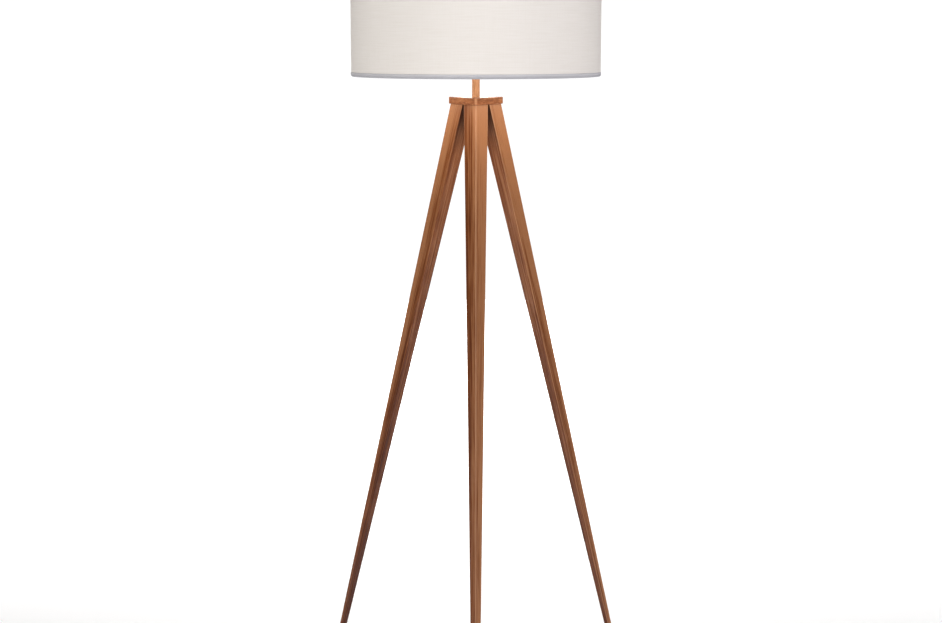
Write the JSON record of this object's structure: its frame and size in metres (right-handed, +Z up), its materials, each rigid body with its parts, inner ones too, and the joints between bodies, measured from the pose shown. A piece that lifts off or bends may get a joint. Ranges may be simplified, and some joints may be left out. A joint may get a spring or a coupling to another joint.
{
  "type": "tripod floor lamp",
  "caption": "Floor lamp on splayed wooden legs of triangular section that taper to the floor, with a triangular hub plate, a short pole and a straight drum shade in pale fabric.",
  "frame": {"origin": "middle of the lamp's bounding box, on the floor; the pole's axis stands 50.9 mm behind it, along +Y", "axes": "+Z up; -Y towards the front leg; +X to the right, seen from the front, where the switch knob is"},
  "size_m": [0.611, 0.6032, 1.53],
  "materials": {
    "leg_wood": "oiled, straight grain along the leg",
    "plate_wood": "oiled, grain along each side",
    "pole_wood": "lighter, satin, grain upwards",
    "dowel_wood": "raw",
    "foot_rubber": "matt",
    "zinc_steel": "zinc plated",
    "insert_brass": "machined",
    "contact_brass": "bright",
    "bushing_plastic": "matt",
    "holder_plastic": "moulded",
    "core_ceramic": "glazed",
    "switch_plastic": "moulded",
    "knob_plastic": "moulded",
    "shade_linen": "plain weave with slubs",
    "hem_linen": "plain weave, folded over the wire",
    "liner_styrene": "satin film",
    "white_wire": "powder coated",
    "bulb_diffuser": "milky",
    "bulb_shell": "moulded",
    "board_white": "solder mask",
    "bulb_cap_metal": "rolled",
    "bulb_glass": "vitrified"
  },
  "bodies": {
    "stand": {"leg_front": "leg_wood", "leg_right": "leg_wood", "leg_left": "leg_wood", "foot_pad_front": "foot_rubber", "foot_pad_right": "foot_rubber", "foot_pad_left": "foot_rubber", "hub_plate": "plate_wood", "pole_sleeve": "pole_wood", "leg_dowels": "dowel_wood", "leg_screws": "zinc_steel", "leg_inserts": "insert_brass", "threaded_rod": "zinc_steel", "rod_washer": "zinc_steel", "rod_lock_washer": "zinc_steel", "rod_nut": "zinc_steel", "cord_bushing": "bushing_plastic", "holder_cap": "holder_plastic", "holder_skirt": "holder_plastic", "holder_grub_screw": "zinc_steel", "holder_core": "core_ceramic", "terminal_screws": "contact_brass", "screw_shell": "contact_brass", "centre_contact": "contact_brass", "switch_body": "switch_plastic"},
    "switch": {"switch_shaft": "zinc_steel", "switch_knob": "knob_plastic"},
    "shade": {"shade_fabric": "shade_linen", "shade_hem_bottom": "hem_linen", "shade_hem_top": "hem_linen", "shade_liner": "liner_styrene", "shade_wire_bottom": "white_wire", "shade_wire_top": "white_wire", "fitter_ring": "white_wire", "fitter_arms": "white_wire"},
    "shade_clamp": {"shade_ring": "holder_plastic"},
    "bulb": {"bulb_globe": "bulb_diffuser", "bulb_housing": "bulb_shell", "bulb_board": "board_white", "bulb_cap": "bulb_cap_metal", "bulb_insulator": "bulb_glass", "bulb_contact": "contact_brass"}
  },
  "joints": [
    {"name": "shade_swivel", "type": "hinge", "parent": "stand", "child": "shade", "pos_m": [0, 0.05092, 1.28], "axis": [0, 0, 1], "continuous": true},
    {"name": "shade_clamp_turn", "type": "hinge", "parent": "stand", "child": "shade_clamp", "pos_m": [0, 0.05092, 1.286], "axis": [0, 0, 1], "continuous": true},
    {"name": "bulb_turn", "type": "hinge", "parent": "stand", "child": "bulb", "pos_m": [0, 0.05092, 1.31], "axis": [0, 0, 1], "continuous": true},
    {"name": "switch_turn", "type": "hinge", "parent": "stand", "child": "switch", "pos_m": [0.02, 0.05092, 1.263], "axis": [1, 0, 0], "continuous": true}
  ]
}
